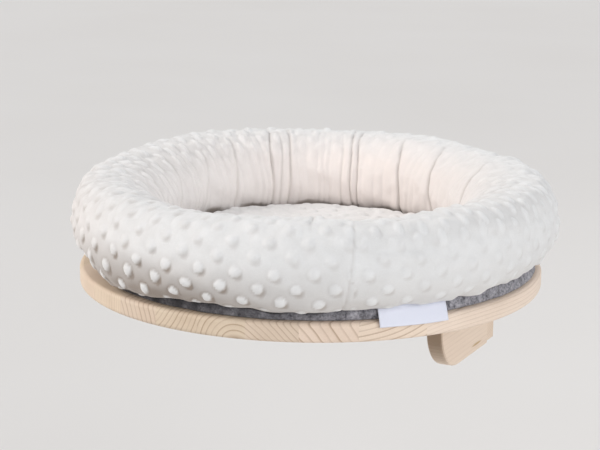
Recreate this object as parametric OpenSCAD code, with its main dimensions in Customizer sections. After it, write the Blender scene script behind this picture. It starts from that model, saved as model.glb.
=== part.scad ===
// Round plush pet bed on a round wooden wall shelf.
// The origin is the centre of the wall screw holes, on the wall.
// +X runs to the right along the wall, +Y into the wall and +Z up.

/* [Board] */
// Diameter of the round board
board_d = 450; // [400:5:500]
// Thickness of the board
board_t = 18; // [16:1:24]
// Number of glued staves
stave_count = 10; // [8:2:12]
// Rounding of the board's rim
rim_round = 4; // [2:0.5:6]
// Gap between the board's rim and the wall
wall_gap = 1; // [0.5:0.5:3]

/* [Wall plate] */
// Length of the wall plate along the wall
plate_w = 220; // [200:5:260]
// Height of the wall plate
plate_h = 106; // [100:1:112]
// Thickness of the wall plate
plate_t = 18; // [16:1:22]
// Distance between the wall holes along the wall
hole_space_x = 120; // [90:5:130]
// Distance between the wall holes up the wall
hole_space_z = 60; // [50:2:66]
// Diameter of a wall hole
wall_hole_d = 5.5; // [4.5:0.5:6.5]
// Diameter of a wall hole's countersink
wall_sink_d = 11; // [10:0.5:13]
// Depth of a wall hole's countersink
wall_sink_h = 3; // [2:0.5:4]

/* [Brackets] */
// Thickness of a bracket
bracket_t = 18; // [16:1:22]
// Height of a bracket
bracket_h = 110; // [104:1:122]
// Reach of a bracket in front of the wall plate
bracket_reach = 130; // [120:2:150]
// Radius of a bracket's lower front corner
bracket_round = 50; // [30:2:60]
// Easing of a bracket's edges
bracket_ease = 3; // [1:0.5:4]

/* [Screws] */
// Diameter of a wood screw's shank
screw_d = 4; // [3.5:0.5:5]
// Diameter of a wood screw's head
screw_head_d = 8; // [7:0.5:9]
// Height of a wood screw's countersunk head
screw_head_h = 2.4; // [2:0.2:3]
// Length of a wood screw
screw_l = 45; // [40:1:55]
// Length of a wood screw's tip
screw_tip_l = 5; // [4:0.5:7]
// Width of the cross recess in a screw's head
recess_w = 3.6; // [3:0.2:4]
// Thickness of the cross recess in a screw's head
recess_t = 0.9; // [0.6:0.1:1.2]
// Depth of the cross recess in a screw's head
recess_h = 1.4; // [1:0.1:1.8]
// Distance of the front board screws from the front of a bracket
board_screw_front = 36; // [28:1:44]
// Distance of the rear board screws from the rear of a bracket
board_screw_rear = 30; // [22:1:38]
// Distance of the bracket screws from the top and bottom of the wall plate
bracket_screw_edge = 22; // [16:1:28]

/* [Felt] */
// Width of the board that shows round the felt
board_margin = 17; // [14:1:22]
// Thickness of the felt
felt_t = 3; // [2:0.5:4]
// Height of the felt band at the side of the bed
band_h = 9.2; // [8:0.2:11]

/* [Ring] */
// Swell of the ring out over the felt
ring_overhang = 25; // [20:1:30]
// Width of the stuffed ring
ring_w = 89; // [80:1:96]
// Distance of the ring's crest from its outer side
ring_crest_in = 26; // [22:1:32]
// Height of the ring's crest over the board
ring_top = 88; // [80:1:96]
// Height of the ring's widest line over the board
ring_mid = 42; // [36:1:46]
// Thickness of the plush
plush_t = 2; // [1.5:0.5:3]
// Number of main gathers on the inner side of the ring
gather_count = 18; // [14:1:18]
// Depth of a main gather
gather_depth = 3; // [1:0.5:4]
// Shift of the bed to the right of the board's centre
bed_shift_x = 5; // [0:1:6]
// Gap between the ring and the wall
ring_wall_gap = 1; // [0.5:0.5:4]

/* [Floor pad] */
// Gap between the floor pad and the ring
pad_gap = 2; // [1:0.5:6]
// Height of the floor pad at its edge
pad_edge_h = 19; // [14:1:22]
// Rise of the floor pad's crown over its edge
pad_crown = 7; // [4:1:10]

/* [Label] */
// Width of the label
label_w = 67; // [50:1:80]
// Drop of the label below the seam
label_drop = 14; // [10:0.5:15]
// Distance of the label from the board's rim
label_gap = 2; // [1.5:0.5:4]
// Thickness of the label
label_t = 0.8; // [0.6:0.1:1.2]
// Direction of the label from the right, seen from above
label_turn = -39; // [-60:1:-20]

/* [Hidden] */
$fn = 120;
// Overrun of a cut past the face that it cuts
over = 1;
// Running gap between soft pieces, and between a soft piece and its seat
soft_gap = 0.3;
// Slack between the stuffing of the ring and its cover
stuffing_gap = 1;
// Clearance of a screw in its hole
screw_gap = 0.1;
// Depth of a screw's head under the face
head_sunk = 0.2;
// Top of the wall plate and underside of the board
plate_top = plate_h / 2;
board_top = plate_top + board_t;
board_r = board_d / 2;
board_y = -(board_r + wall_gap);
// Width of one glued stave
stave_w = board_d / stave_count;
// Places of the brackets and of their screws
bracket_x = (plate_w - bracket_t) / 2;
bracket_front = -(plate_t + bracket_reach);
board_screw_ys = [bracket_front + board_screw_front, -plate_t - board_screw_rear];
bracket_screw_zs = [plate_top - bracket_screw_edge, -plate_top + bracket_screw_edge];
// Steps that round an eased edge
ease_steps = 3;
// Radii of the bed from the felt base inwards and outwards
felt_r = board_r - board_margin;
band_inner_r = felt_r - felt_t;
ring_outer_r = felt_r + ring_overhang;
ring_crest_r = ring_outer_r - ring_crest_in;
ring_inner_r = ring_outer_r - ring_w;
// Middle of the bed, and its shift from the board's centre away from the wall
bed_x = bed_shift_x;
bed_y = -(ring_outer_r + ring_wall_gap);
bed_shift_y = board_y - bed_y;
// Heights in the bed, over the board
felt_z = soft_gap;
seat_z = felt_z + felt_t + soft_gap;
band_top = felt_z + band_h;
// Shape of the ring's section, as exponents and shares
upper_power_share = 2.1;
lower_power_share = 2.4;
// Directions round the section, from the felt band over the top to the foot inside
section_turns = [-80, -40, 0, 35, 65, 90, 120, 150, 180, 215, 250];
lining_turns = [for (i = [1 : len(section_turns) - 1]) section_turns[i]];
// Directions where the gathers start, are deepest and end
gather_from = 40;
gather_full = 110;
gather_fade = 200;
gather_end = 260;
// Columns of points to one gather
samples_per_gather = 3;
// Radius of the floor pad
pad_r = ring_inner_r - pad_gap;
// Points round the pad's rim and over its crown
pad_rim_steps = 6;
pad_crown_steps = 6;
// Names of the staves, from left to right
stave_names = [for (i = [1 : stave_count]) str("stave_", i)];

// Round board with a rounded rim, its underside at z = 0 and its centre over the origin
module round_board() {
    flat_r = board_r - rim_round;
    rotate_extrude() {
        square([flat_r, board_t]);
        translate([0, rim_round]) square([board_r, board_t - 2 * rim_round]);
        for (z = [rim_round, board_t - rim_round])
            translate([flat_r, z]) circle(rim_round);
    }
}

// Countersunk hole along -Z from its mouth at the origin, its cone starting at a given depth
module countersunk_hole(depth, d, sink_d, sink_h, sink_depth) {
    rotate_extrude()
        polygon([[0, over], [sink_d / 2, over], [sink_d / 2, -sink_depth],
            [d / 2, -sink_depth - sink_h], [d / 2, -depth], [0, -depth]]);
}

module screw_hole(depth) {
    countersunk_hole(depth, screw_d + 2 * screw_gap, screw_head_d + 2 * screw_gap,
        screw_head_h, head_sunk);
}

// Wood screw along -Z, its head's face just under its mouth at the origin
module wood_screw() {
    translate([0, 0, -head_sunk])
        difference() {
            rotate_extrude()
                polygon([[0, 0], [screw_head_d / 2, 0], [screw_d / 2, -screw_head_h],
                    [screw_d / 2, -(screw_l - screw_tip_l)], [0, -screw_l]]);
            for (turn = [0, 90])
                rotate(turn)
                    translate([-recess_w / 2, -recess_t / 2, -recess_h])
                        cube([recess_w, recess_t, recess_h + over]);
        }
}

// Places of the board's screws, on its top face
module at_board_screws() {
    for (side = [-1, 1], y = board_screw_ys)
        translate([side * bracket_x, y, board_top]) children();
}

// Places of the bracket screws, on the back of the wall plate, pointing away from the wall
module at_bracket_screws() {
    for (side = [-1, 1], z = bracket_screw_zs)
        translate([side * bracket_x, 0, z]) rotate([-90, 0, 0]) children();
}

// Left side of a stave, counted from 0 at the left; the outer staves run out to the rim
function stave_side(number) =
    number == 0 ? -board_r - over : number == stave_count ? board_r + over : number * stave_w - board_r;

// One glued stave
module stave(number) {
    side = stave_side(number);
    color([0.87, 0.72, 0.53])
        difference() {
            intersection() {
                translate([0, board_y, plate_top]) round_board();
                translate([side, board_y - board_r - over, plate_top - over])
                    cube([stave_side(number + 1) - side, board_d + 2 * over, board_t + 2 * over]);
            }
            at_board_screws() screw_hole(board_t + over);
        }
}

module wall_plate() {
    color([0.84, 0.69, 0.51])
        difference() {
            translate([-plate_w / 2, -plate_t, -plate_top]) cube([plate_w, plate_t, plate_h]);
            for (x = [-hole_space_x, hole_space_x] / 2, z = [-hole_space_z, hole_space_z] / 2)
                translate([x, -plate_t, z]) rotate([90, 0, 0])
                    countersunk_hole(plate_t + over, wall_hole_d, wall_sink_d, wall_sink_h, 0);
            at_bracket_screws() screw_hole(plate_t + over);
        }
}

// Side view of a bracket, drawn in by an inset; x runs from its front to the wall plate
module bracket_outline(inset) {
    round_r = bracket_round - inset;
    intersection() {
        translate([inset, inset]) square([bracket_reach - inset, bracket_h - inset]);
        hull() {
            translate([bracket_round, bracket_round]) circle(round_r, $fn = 64);
            translate([bracket_round, inset]) square([bracket_reach - bracket_round, bracket_h - inset]);
            translate([inset, bracket_round]) square([bracket_reach - inset, bracket_h - bracket_round]);
        }
    }
}

// One bracket with eased sides, on the right for side = 1 and on the left for side = -1
module bracket(side) {
    color([0.88, 0.74, 0.57])
        difference() {
            translate([side * bracket_x - bracket_t / 2, bracket_front, plate_top - bracket_h])
                rotate([90, 0, 90])
                    hull()
                        for (step = [0 : ease_steps]) {
                            turn = 90 * step / ease_steps;
                            inset = bracket_ease * (1 - sin(turn));
                            depth = bracket_ease * (1 - cos(turn));
                            translate([0, 0, depth])
                                linear_extrude(bracket_t - 2 * depth) bracket_outline(inset);
                        }
            at_board_screws() screw_hole(screw_l + screw_gap);
            at_bracket_screws() screw_hole(screw_l + screw_gap);
        }
}

module board_screws() {
    color([0.7, 0.71, 0.72]) at_board_screws() wood_screw();
}

module bracket_screws() {
    color([0.7, 0.71, 0.72]) at_bracket_screws() wood_screw();
}

// Carries what follows to the middle of the bed, on top of the board
module in_bed() {
    translate([bed_x, bed_y, board_top]) children();
}

module felt_base() {
    color([0.28, 0.29, 0.33]) in_bed() translate([0, 0, felt_z]) cylinder(h = felt_t, r = felt_r);
}

module felt_band() {
    color([0.3, 0.31, 0.35])
        in_bed()
            rotate_extrude()
                translate([band_inner_r, felt_z + felt_t])
                    square([felt_t, band_h - felt_t]);
}

// Sine or cosine of a direction, changed so that a circle becomes a rounded box
function bulge(value, power) = sign(value) * pow(abs(value), 2 / power);

// Point [radius, height] of the ring's section in a direction, drawn in by an inset
function section_point(turn, inset) =
    let (power = sin(turn) >= 0 ? upper_power_share : lower_power_share,
        reach = cos(turn) >= 0 ? ring_outer_r - ring_crest_r : ring_crest_r - ring_inner_r,
        foot = cos(turn) >= 0 ? ring_mid - band_top - soft_gap : ring_mid - seat_z,
        rise = sin(turn) >= 0 ? ring_top - ring_mid : foot)
    [ring_crest_r + (reach - inset) * bulge(cos(turn), power),
        ring_mid + (rise - inset) * bulge(sin(turn), power)];

// How strongly the gathers draw in a section point in a direction, from 0 to 1
function gather_share(turn) =
    max(0, min(1, (turn - gather_from) / (gather_full - gather_from),
        (gather_end - turn) / (gather_end - gather_fade)));

// Where the plush is sewn in behind the top of the felt band
function hem_point(inset) = [band_inner_r - soft_gap - inset, band_top + soft_gap + inset];

// Outer side of the plush, then its inner side back again, as [point, gather share]
function cover_section() = concat(
    [[hem_point(0), 0]],
    [for (turn = section_turns) [section_point(turn, 0), gather_share(turn)]],
    [for (i = [len(lining_turns) - 1 : -1 : 0])
        [section_point(lining_turns[i], plush_t), gather_share(lining_turns[i])]],
    [[hem_point(plush_t), 0]]);

// Plush tube with its main gathers, open at its foot like a gutter turned over
module ring_cover() {
    section = cover_section();
    middle = [(ring_outer_r + ring_inner_r) / 2, ring_mid];
    size = (ring_top - seat_z) / 2;
    columns = gather_count * samples_per_gather;
    rows = len(section);
    points = [for (i = [0 : columns - 1], row = section)
        let (turn = 360 * i / columns,
            fold = (1 - cos(gather_count * turn)) / 2 * row[1] * gather_depth / size,
            p = middle + (row[0] - middle) * (1 - fold))
        [p.x * cos(turn), p.x * sin(turn), p.y]];
    faces = [for (i = [0 : columns - 1], j = [0 : rows - 1])
        let (here = i * rows + j,
            up = i * rows + (j + 1) % rows,
            next = (i + 1) % columns * rows + j,
            next_up = (i + 1) % columns * rows + (j + 1) % rows)
        each [[here, up, next_up], [here, next_up, next]]];
    color([0.93, 0.92, 0.91]) in_bed() polyhedron(points, faces);
}

// Stuffing of the ring: its foot inside the felt band, then round over the crest
module ring_filling() {
    inset = plush_t + gather_depth + stuffing_gap;
    sides = [for (turn = lining_turns) section_point(turn, inset)];
    hem = hem_point(inset);
    color([0.97, 0.97, 0.97])
        in_bed()
            rotate_extrude()
                polygon(concat([[sides[len(sides) - 1].x, seat_z], [hem.x, seat_z], hem], sides));
}

// Section of the pad: a flat foot, a round rim and a crowned top
function pad_section(inset) =
    let (low = seat_z + inset,
        rim_r = pad_edge_h / 2 - inset,
        middle_r = pad_r - pad_edge_h / 2)
    concat([[0, low]],
        [for (step = [0 : pad_rim_steps])
            let (turn = -90 + 180 * step / pad_rim_steps)
            [middle_r + rim_r * cos(turn), low + rim_r * (1 + sin(turn))]],
        [for (step = [1 : pad_crown_steps])
            let (turn = 90 * step / pad_crown_steps)
            [middle_r * cos(turn), low + 2 * rim_r + pad_crown * sin(turn)]]);

module pad_form(inset) {
    in_bed() rotate_extrude() polygon(pad_section(inset));
}

module pad_cover() {
    color([0.95, 0.93, 0.92])
        difference() {
            pad_form(0);
            pad_form(plush_t);
        }
}

module pad_filling() {
    color([0.97, 0.97, 0.97]) pad_form(plush_t + soft_gap);
}

// Woven label, sewn in over the felt band and hanging out over the board's rim
module label() {
    label_top = band_top + soft_gap;
    label_r = felt_r + soft_gap;
    label_angle = label_w / label_r * 180 / PI;
    low_r = board_r + label_gap - bed_shift_x * cos(label_turn) + bed_shift_y * sin(label_turn);
    knee_r = low_r - rim_round;
    outline = [[label_r, label_top], [knee_r, label_gap], [low_r, label_top - label_drop]];
    color([0.95, 0.95, 0.96])
        in_bed()
            rotate(label_turn - label_angle / 2)
                rotate_extrude(angle = label_angle)
                    polygon(concat(outline,
                        [for (i = [2 : -1 : 0]) outline[i] + [label_t, 0]]));
}

for (number = [0 : stave_count - 1])
    stave(number);
wall_plate();
bracket(-1);  // left_bracket
bracket(1);  // right_bracket
board_screws();
bracket_screws();
felt_base();
felt_band();
ring_cover();
ring_filling();
label();
pad_cover();
pad_filling();
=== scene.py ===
# %% [markdown]
# # A plush pet bed on its wooden wall shelf
#
# The shelf is ten glued pine staves on two brackets and a wall plate. The bed on it is a stuffed
# plush ring round a flat cushion, sewn to a grey felt bottom, with a woven label at its side.
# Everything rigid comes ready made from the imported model, in metres, and keeps its shape here.
# This script gives it wood and steel, and makes the soft pieces as cloth.

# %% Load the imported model
import math

import bmesh
import bpy
import numpy as np
from mathutils import Matrix, Vector


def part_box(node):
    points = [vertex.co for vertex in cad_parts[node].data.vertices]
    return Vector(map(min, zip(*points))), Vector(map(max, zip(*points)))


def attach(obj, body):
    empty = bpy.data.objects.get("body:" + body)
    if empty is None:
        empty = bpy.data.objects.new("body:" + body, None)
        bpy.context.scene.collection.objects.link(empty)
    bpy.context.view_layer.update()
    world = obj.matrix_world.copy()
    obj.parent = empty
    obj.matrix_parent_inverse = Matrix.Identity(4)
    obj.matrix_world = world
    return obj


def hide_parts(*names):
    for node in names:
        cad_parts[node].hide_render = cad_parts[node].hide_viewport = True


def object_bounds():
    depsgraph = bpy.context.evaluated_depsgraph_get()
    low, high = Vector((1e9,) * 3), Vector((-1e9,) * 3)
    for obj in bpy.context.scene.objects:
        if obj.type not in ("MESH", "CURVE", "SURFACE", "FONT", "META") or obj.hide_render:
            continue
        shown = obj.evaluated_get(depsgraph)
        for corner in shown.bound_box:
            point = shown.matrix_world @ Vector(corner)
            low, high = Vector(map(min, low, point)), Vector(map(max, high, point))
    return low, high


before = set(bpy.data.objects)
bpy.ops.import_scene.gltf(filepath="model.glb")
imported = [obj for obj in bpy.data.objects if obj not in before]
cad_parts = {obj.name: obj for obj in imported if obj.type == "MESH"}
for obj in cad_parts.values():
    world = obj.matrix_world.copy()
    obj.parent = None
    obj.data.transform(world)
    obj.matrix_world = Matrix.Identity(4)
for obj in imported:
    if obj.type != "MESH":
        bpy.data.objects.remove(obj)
cad_box = [list(corner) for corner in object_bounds()]
MM = 0.001
print("CAD box", cad_box)

# %% [markdown]
# ## Camera
#
# The photograph was taken from the right, a little above the board, with a long lens: parallel
# edges hardly meet. A camera's view could be matched by eye, but a few measured numbers hold
# better. So its place is given from the middle of the board's top face: first straight in front,
# then turned by 26 degrees. A long focal length and a far camera keep the flat perspective.

# %% Middle of the board
board_low, board_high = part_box("stave_1")
_, board_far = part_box("stave_10")
board_middle = Vector(((board_low.x + board_far.x) / 2, 0, board_high.z))
stave_low, stave_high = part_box("stave_5")
board_middle.y = (stave_low.y + stave_high.y) / 2
print("middle of the board", [round(v, 4) for v in board_middle])

# %% Camera
VIEW_TURN = math.radians(26)
# Metres behind and above the middle of the board; fitted to the outline in the photograph
CAMERA_BACK, CAMERA_UP = 1.7121, 0.4411
HEADING = VIEW_TURN + math.radians(0.36)
LOOK_DOWN, ROLL = math.radians(13.38), math.radians(0.59)

camera_data = bpy.data.cameras.new("Camera")
camera_data.sensor_width = 36
camera_data.lens = 108
camera = bpy.data.objects.new("Camera", camera_data)
bpy.context.scene.collection.objects.link(camera)
away = Matrix.Rotation(VIEW_TURN, 3, "Z") @ Vector((0, -CAMERA_BACK, CAMERA_UP))
camera.location = board_middle + away
turned = (Matrix.Rotation(HEADING, 3, "Z")
          @ Matrix.Rotation(math.pi / 2 - LOOK_DOWN, 3, "X")
          @ Matrix.Rotation(ROLL, 3, "Z"))
camera.rotation_euler = turned.to_euler()
bpy.context.scene.camera = camera
print("camera at", [round(v, 3) for v in camera.location])

# %% [markdown]
# ## Light
#
# White plush shows its dots only by soft shade. A few small lamps would make hard spots, so two
# suns with a wide disc do the work. A warm one rakes over the bed from the left, and a wider,
# cooler one on the right lifts the shade on the front, as in the photograph. Suns light the
# floor evenly too, which a lamp near it would not do. A weak lamp behind draws the far rim.


# %% Lights
def add_light(name, kind, azimuth, elevation, power, colour=(1, 1, 1), distance=0.0, **settings):
    """A light that looks at the board from a direction in degrees; azimuth 0 is straight in front."""
    data = bpy.data.lights.new(name, kind)
    data.energy, data.color = power, colour
    for setting, value in settings.items():
        setattr(data, setting, value)
    turn, rise = math.radians(azimuth), math.radians(elevation)
    to_light = Vector((math.sin(turn) * math.cos(rise), -math.cos(turn) * math.cos(rise), math.sin(rise)))
    piece = bpy.data.objects.new(name, data)
    piece.location = board_middle + to_light * distance
    piece.rotation_euler = (-to_light).to_track_quat("-Z", "Y").to_euler()
    bpy.context.scene.collection.objects.link(piece)


add_light("Soft sun on the left", "SUN", -68, 30, 1.75, (1, 0.955, 0.915), angle=math.radians(26))
add_light("Soft sun on the right", "SUN", 58, 16, 1.4, (0.975, 0.988, 1), angle=math.radians(50))
add_light("Lamp behind", "AREA", 170, 50, 7, distance=2.4, shape="SQUARE", size=1.8)
print("lights:", [data.name for data in bpy.data.lights])

# %% [markdown]
# ## Sky
#
# The sky stands for the bright room all round. As a light it is weaker than it looks to the
# camera. So the shade between the dots stays soft but clear, and what shows beyond the floor has
# the floor's tone.

# %% Sky
ROOM_LIGHT, SKY_SEEN = 0.5, 0.72
world = bpy.data.worlds.new("Studio")
world.use_nodes = True
sky = world.node_tree.nodes["Background"]
sky.inputs["Color"].default_value = (0.97, 0.98, 1, 1)
seen = world.node_tree.nodes.new("ShaderNodeLightPath")
strength = world.node_tree.nodes.new("ShaderNodeMapRange")
strength.inputs["To Min"].default_value = ROOM_LIGHT
strength.inputs["To Max"].default_value = SKY_SEEN
world.node_tree.links.new(seen.outputs["Is Camera Ray"], strength.inputs["Value"])
world.node_tree.links.new(strength.outputs["Result"], sky.inputs["Strength"])
bpy.context.scene.world = world
bpy.context.scene.view_settings.view_transform = "Standard"
print("sky strength", ROOM_LIGHT, "as a light and", SKY_SEEN, "to the camera")

# %% [markdown]
# ## Floor
#
# A plain floor lies well below the shelf.

# %% Floor
FLOOR_DROP, FLOOR_SIZE = 0.45, 40
bm = bmesh.new()
bmesh.ops.create_grid(bm, x_segments=1, y_segments=1, size=FLOOR_SIZE / 2)
bmesh.ops.translate(bm, verts=bm.verts, vec=(0, 0, cad_box[0][2] - FLOOR_DROP))
floor_mesh = bpy.data.meshes.new("Floor")
bm.to_mesh(floor_mesh)
bm.free()
floor = bpy.data.objects.new("Floor", floor_mesh)
bpy.context.scene.collection.objects.link(floor)
print("floor at", round(cad_box[0][2] - FLOOR_DROP, 3), "m")

# %% [markdown]
# ## Shader helpers
#
# Every finish is a small graph of nodes. One helper adds a node, sets its options and fills its
# sockets, so that a graph reads like a list of steps. A value is set on the socket itself, and
# only what changes over the surface arrives by a link.


# %% Helpers for node graphs
def add(tree, kind, sockets=None, **options):
    """Adds a node; sockets maps an input's name or number to a value or to another node's output."""
    made = tree.nodes.new(kind)
    for name, value in options.items():
        setattr(made, name, value)
    for name, value in (sockets or {}).items():
        if isinstance(value, bpy.types.NodeSocket):
            tree.links.new(value, made.inputs[name])
        else:
            made.inputs[name].default_value = value
    return made


def maths(tree, operation, *values, clamp=False):
    """A sum, product or other operation on values or sockets."""
    sockets = {number: value for number, value in enumerate(values)}
    return add(tree, "ShaderNodeMath", sockets, operation=operation, use_clamp=clamp).outputs[0]


def vectors(tree, operation, *values):
    """The same on vectors; a length or a dot product gives a single value."""
    sockets = {number: value for number, value in enumerate(values)}
    made = add(tree, "ShaderNodeVectorMath", sockets, operation=operation)
    return made.outputs["Value" if operation in ("LENGTH", "DOT_PRODUCT") else "Vector"]


def noise(tree, place, scale, detail=2.0, roughness=0.5):
    """Noise from 0 to 1; scale is in waves to a metre."""
    sockets = {"Vector": place, "Scale": scale, "Detail": detail, "Roughness": roughness}
    return add(tree, "ShaderNodeTexNoise", sockets).outputs["Fac"]


def ramp(tree, value, stops):
    """Turns a value into another one by (place, value) stops, joined by straight lines."""
    made = add(tree, "ShaderNodeValToRGB", {"Fac": value})
    points = made.color_ramp.elements
    while len(points) < len(stops):
        points.new(0.5)
    for point, (place, shade) in zip(points, stops):
        point.position = place
        point.color = (shade, shade, shade, 1)
    return made.outputs["Color"]


def mix_colours(tree, share, first, second):
    """Goes from the first colour to the second as share goes from 0 to 1."""
    return add(tree, "ShaderNodeMix", {0: share, 6: first, 7: second}, data_type="RGBA").outputs[2]


# %% Helpers for groups and materials
def new_group(name, inputs, outputs):
    """A shader node group whose sockets are given as {name: (kind, value)} and {name: kind}."""
    group = bpy.data.node_groups.new(name, "ShaderNodeTree")
    for socket, (kind, value) in inputs.items():
        made = group.interface.new_socket(socket, in_out="INPUT", socket_type="NodeSocket" + kind)
        if value is not None:
            made.default_value = value
    for socket, kind in outputs.items():
        group.interface.new_socket(socket, in_out="OUTPUT", socket_type="NodeSocket" + kind)
    return group, group.nodes.new("NodeGroupInput"), group.nodes.new("NodeGroupOutput")


def new_material(name, **values):
    """A material with one Principled shader, whose sockets are set by name."""
    material = bpy.data.materials.new(name)
    material.use_nodes = True
    shader = material.node_tree.nodes["Principled BSDF"]
    for socket, value in values.items():
        shader.inputs[socket.replace("_", " ")].default_value = value
    return material, material.node_tree, shader


def bump(tree, shader, height, strength, distance):
    """Lets a height pattern tilt the light on a surface; distance is its depth in metres."""
    made = add(tree, "ShaderNodeBump", {"Height": height, "Strength": strength, "Distance": distance})
    tree.links.new(made.outputs["Normal"], shader.inputs["Normal"])


def object_place(tree):
    """Object coordinates: metres in the part's own frame."""
    return add(tree, "ShaderNodeTexCoord").outputs["Object"]


# %% [markdown]
# ## Pine
#
# The shelf is solid pine, so its grain is a solid pattern too. Growth rings are cylinders round
# the pith of the tree, and each stave is cut from another part of a trunk. One group draws rings
# round a pith line that runs along Y, so the same rings show as arcs on the sawn front edge and
# as long lines on the top. A picture of wood would break off at each edge. The group takes the
# place of the pith, the width of a ring and the two colours of the wood.

# %% Facts of pine
# Waves to a metre of the sway of the rings, of the fibres and of the cloudy patches
SWAY_WAVES, FIBRE_WAVES, CLOUD_WAVES = 22.0, 1100.0, 30.0
SWAY_REACH, HEART_R = 0.005, 20 * MM
# Shade through one year: pale early wood, a narrow dark line of late wood, and back
RING_SHADE = [(0, 0), (0.66, 0.06), (0.88, 1), (0.94, 0.8), (1, 0)]
EARLY, LATE = (0.84, 0.70, 0.57, 1), (0.40, 0.26, 0.16, 1)
# The first brown is the dark of end grain, with painted shade added to it
END_GRAIN_SHADE_BROWN, RESIN_BROWN = (0.22, 0.15, 0.095, 1), (0.5, 0.33, 0.16, 1)
# One over the half sizes of a resin streak: across, along and up
STREAK_REACH = (1 / (12 * MM), 1 / (17 * MM), 1 / (1.6 * MM))
print("a ring's sway is", SWAY_REACH / MM, "mm at most, the heart is", HEART_R / MM, "mm")


# %% The pine group
def make_pine_group():
    """Rings round a pith line along Y, with fibres, cloudy patches, a heart, and dark end grain that also
    carries painted shade.
    """
    group, given, result = new_group(
        "Pine grain",
        {"Place": ("Vector", None), "Pith": ("Vector", None), "Ring width": ("Float", 0.003),
         "Figure": ("Float", 0.5), "Early wood": ("Color", (0.8, 0.62, 0.42, 1)),
         "Late wood": ("Color", (0.5, 0.3, 0.15, 1)), "Heart": ("Float", 0.0),
         "End grain and shade": ("Float", 0.0)},
        {"Color": "Color", "Roughness": "Float", "Height": "Float"})
    take = given.outputs
    along = vectors(group, "MULTIPLY", take["Place"], (1, 0.1, 1))
    sway = add(group, "ShaderNodeTexNoise", {"Vector": along, "Scale": SWAY_WAVES, "Detail": 1.0})
    sway = vectors(group, "SCALE", vectors(group, "SUBTRACT", sway.outputs["Color"], (0.5, 0.5, 0.5)))
    sway.node.inputs["Scale"].default_value = SWAY_REACH
    from_pith = vectors(group, "SUBTRACT", vectors(group, "ADD", take["Place"], sway), take["Pith"])
    radius = vectors(group, "LENGTH", vectors(group, "MULTIPLY", from_pith, (1, 0, 1)))
    rings = maths(group, "DIVIDE", radius, take["Ring width"])
    year = maths(group, "FLOOR", rings)
    season = ramp(group, maths(group, "FRACT", rings), RING_SHADE)
    luck = add(group, "ShaderNodeTexWhiteNoise", {"W": year}, noise_dimensions="1D").outputs["Value"]
    vigour = maths(group, "MULTIPLY_ADD", luck, 0.6, 0.4)
    ring_mark = maths(group, "MULTIPLY", season, vigour)
    fibre_place = vectors(group, "MULTIPLY", take["Place"], (1, 0.025, 1))
    fibre = noise(group, fibre_place, FIBRE_WAVES, 2.0, 0.6)
    cloud = noise(group, along, CLOUD_WAVES, 2.0)
    dark = maths(group, "MULTIPLY", ring_mark, take["Figure"])
    dark = maths(group, "ADD", dark, maths(group, "MULTIPLY_ADD", fibre, 0.3, -0.15))
    dark = maths(group, "ADD", dark, maths(group, "MULTIPLY_ADD", cloud, 0.5, -0.2), clamp=True)
    heart = ramp(group, maths(group, "DIVIDE", radius, HEART_R), [(0, 1), (0.35, 0.8), (0.6, 0)])
    heart = maths(group, "MULTIPLY", heart, take["Heart"])
    dark = maths(group, "MAXIMUM", dark, heart)
    colour = mix_colours(group, dark, take["Early wood"], take["Late wood"])
    # Faces across Y show end grain; their darkening is partly the wood's own colour and partly painted shade
    facing = add(group, "ShaderNodeTexCoord").outputs["Normal"]
    facing = maths(group, "ABSOLUTE", vectors(group, "DOT_PRODUCT", facing, (0, 1, 0)))
    end_grain_and_shade = maths(group, "MULTIPLY", ramp(group, facing, [(0.4, 0), (0.95, 1)]), take["End grain and shade"])
    colour = mix_colours(group, end_grain_and_shade, colour, END_GRAIN_SHADE_BROWN)
    group.links.new(colour, result.inputs["Color"])
    group.links.new(maths(group, "MULTIPLY_ADD", dark, -0.12, 0.6), result.inputs["Roughness"])
    height = maths(group, "ADD", maths(group, "MULTIPLY", ring_mark, 0.4), fibre)
    group.links.new(height, result.inputs["Height"])
    return group


pine_group = make_pine_group()
print("pine group with", len(pine_group.nodes), "nodes")


# %% Pine for one piece
def pine(name, pith, ring_width, figure=0.5, early=EARLY, late=LATE, heart=0.0, ends=0.0, across=False,
         streak=None):
    """Pine with its grain along Y, or along X where across is true; pith and streak are points."""
    material, tree, shader = new_material(name, Specular_IOR_Level=0.35)
    place = object_place(tree)
    if across:
        turned_place = add(tree, "ShaderNodeMapping", {"Vector": place, "Rotation": (0, 0, math.pi / 2)})
        place = turned_place.outputs["Vector"]
    grain = add(tree, "ShaderNodeGroup", {
        "Place": place, "Pith": pith, "Ring width": ring_width, "Figure": figure,
        "Early wood": early, "Late wood": late, "Heart": heart, "End grain and shade": ends},
        node_tree=pine_group)
    colour = grain.outputs["Color"]
    if streak:
        far = vectors(tree, "SUBTRACT", place, streak)
        far = vectors(tree, "LENGTH", vectors(tree, "MULTIPLY", far, STREAK_REACH))
        resin = ramp(tree, far, [(0, 1), (0.55, 0.85), (1, 0)])
        colour = mix_colours(tree, resin, colour, RESIN_BROWN)
    tree.links.new(colour, shader.inputs["Base Color"])
    tree.links.new(grain.outputs["Roughness"], shader.inputs["Roughness"])
    bump(tree, shader, grain.outputs["Height"], 0.35, 0.25 * MM)
    return material


def give(node_name, material):
    """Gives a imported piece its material, in the one slot that it has."""
    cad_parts[node_name].material_slots[0].material = material


# %% [markdown]
# ## The ten staves
#
# The front edge shows how each stave was sawn: fine upright lines, slanting lines, or arches
# where the pith lies just under the face. So each stave has its own pith, given as millimetres
# from the middle of the stave, its own width of ring and its own shade. One pattern for all would
# be less work, but then the glue joints wouldn't show.

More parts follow.
